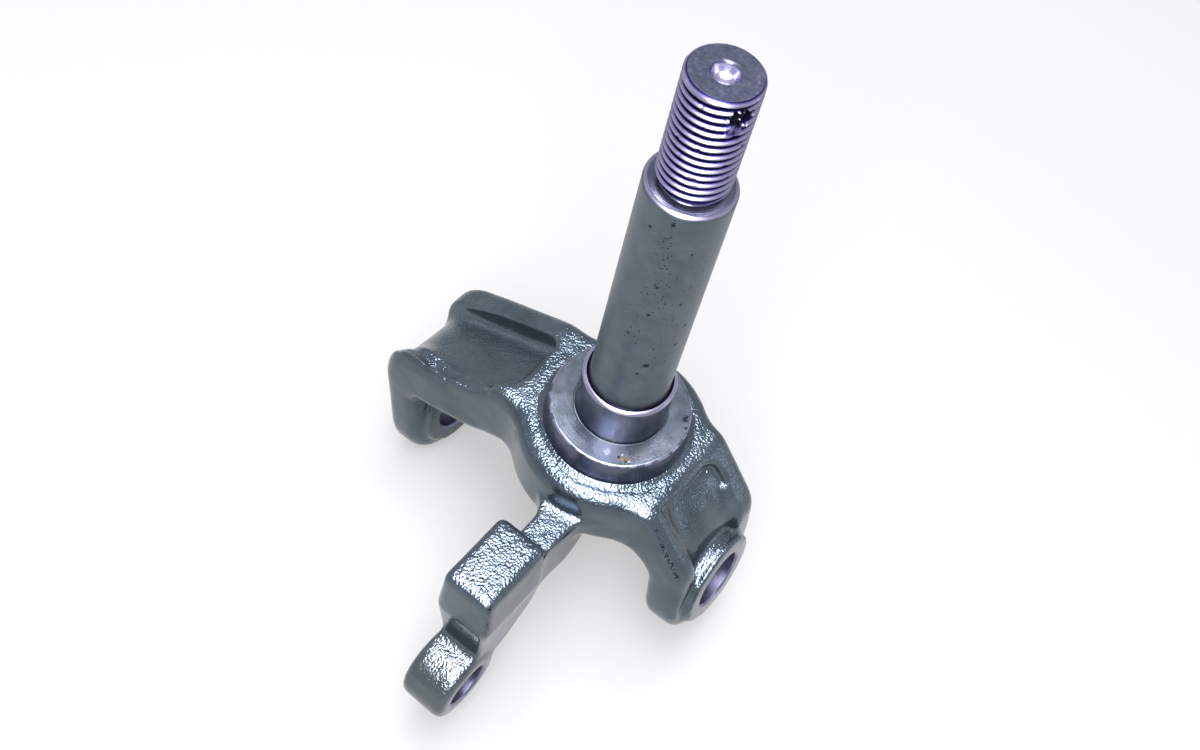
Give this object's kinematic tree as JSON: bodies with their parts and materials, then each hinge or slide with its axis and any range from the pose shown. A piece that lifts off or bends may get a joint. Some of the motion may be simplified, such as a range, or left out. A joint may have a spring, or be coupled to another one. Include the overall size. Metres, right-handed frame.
{
  "type": "steering knuckle",
  "caption": "Forged steering knuckle: a fork for a kingpin, a long threaded wheel spindle and a steering arm with a stop block and tie-rod eye.",
  "frame": {"origin": "on the spindle's axis at the turned seat face that the hub's inner ring bears on", "axes": "+Z out along the spindle, +X towards the lower kingpin ear, -Y along the steering arm"},
  "size_m": [0.1605, 0.1499, 0.2818],
  "materials": {
    "steel": "shot-blasted grey forging with turned spindle"
  },
  "bodies": {
    "root": {"steering_knuckle": "steel"}
  },
  "joints": []
}
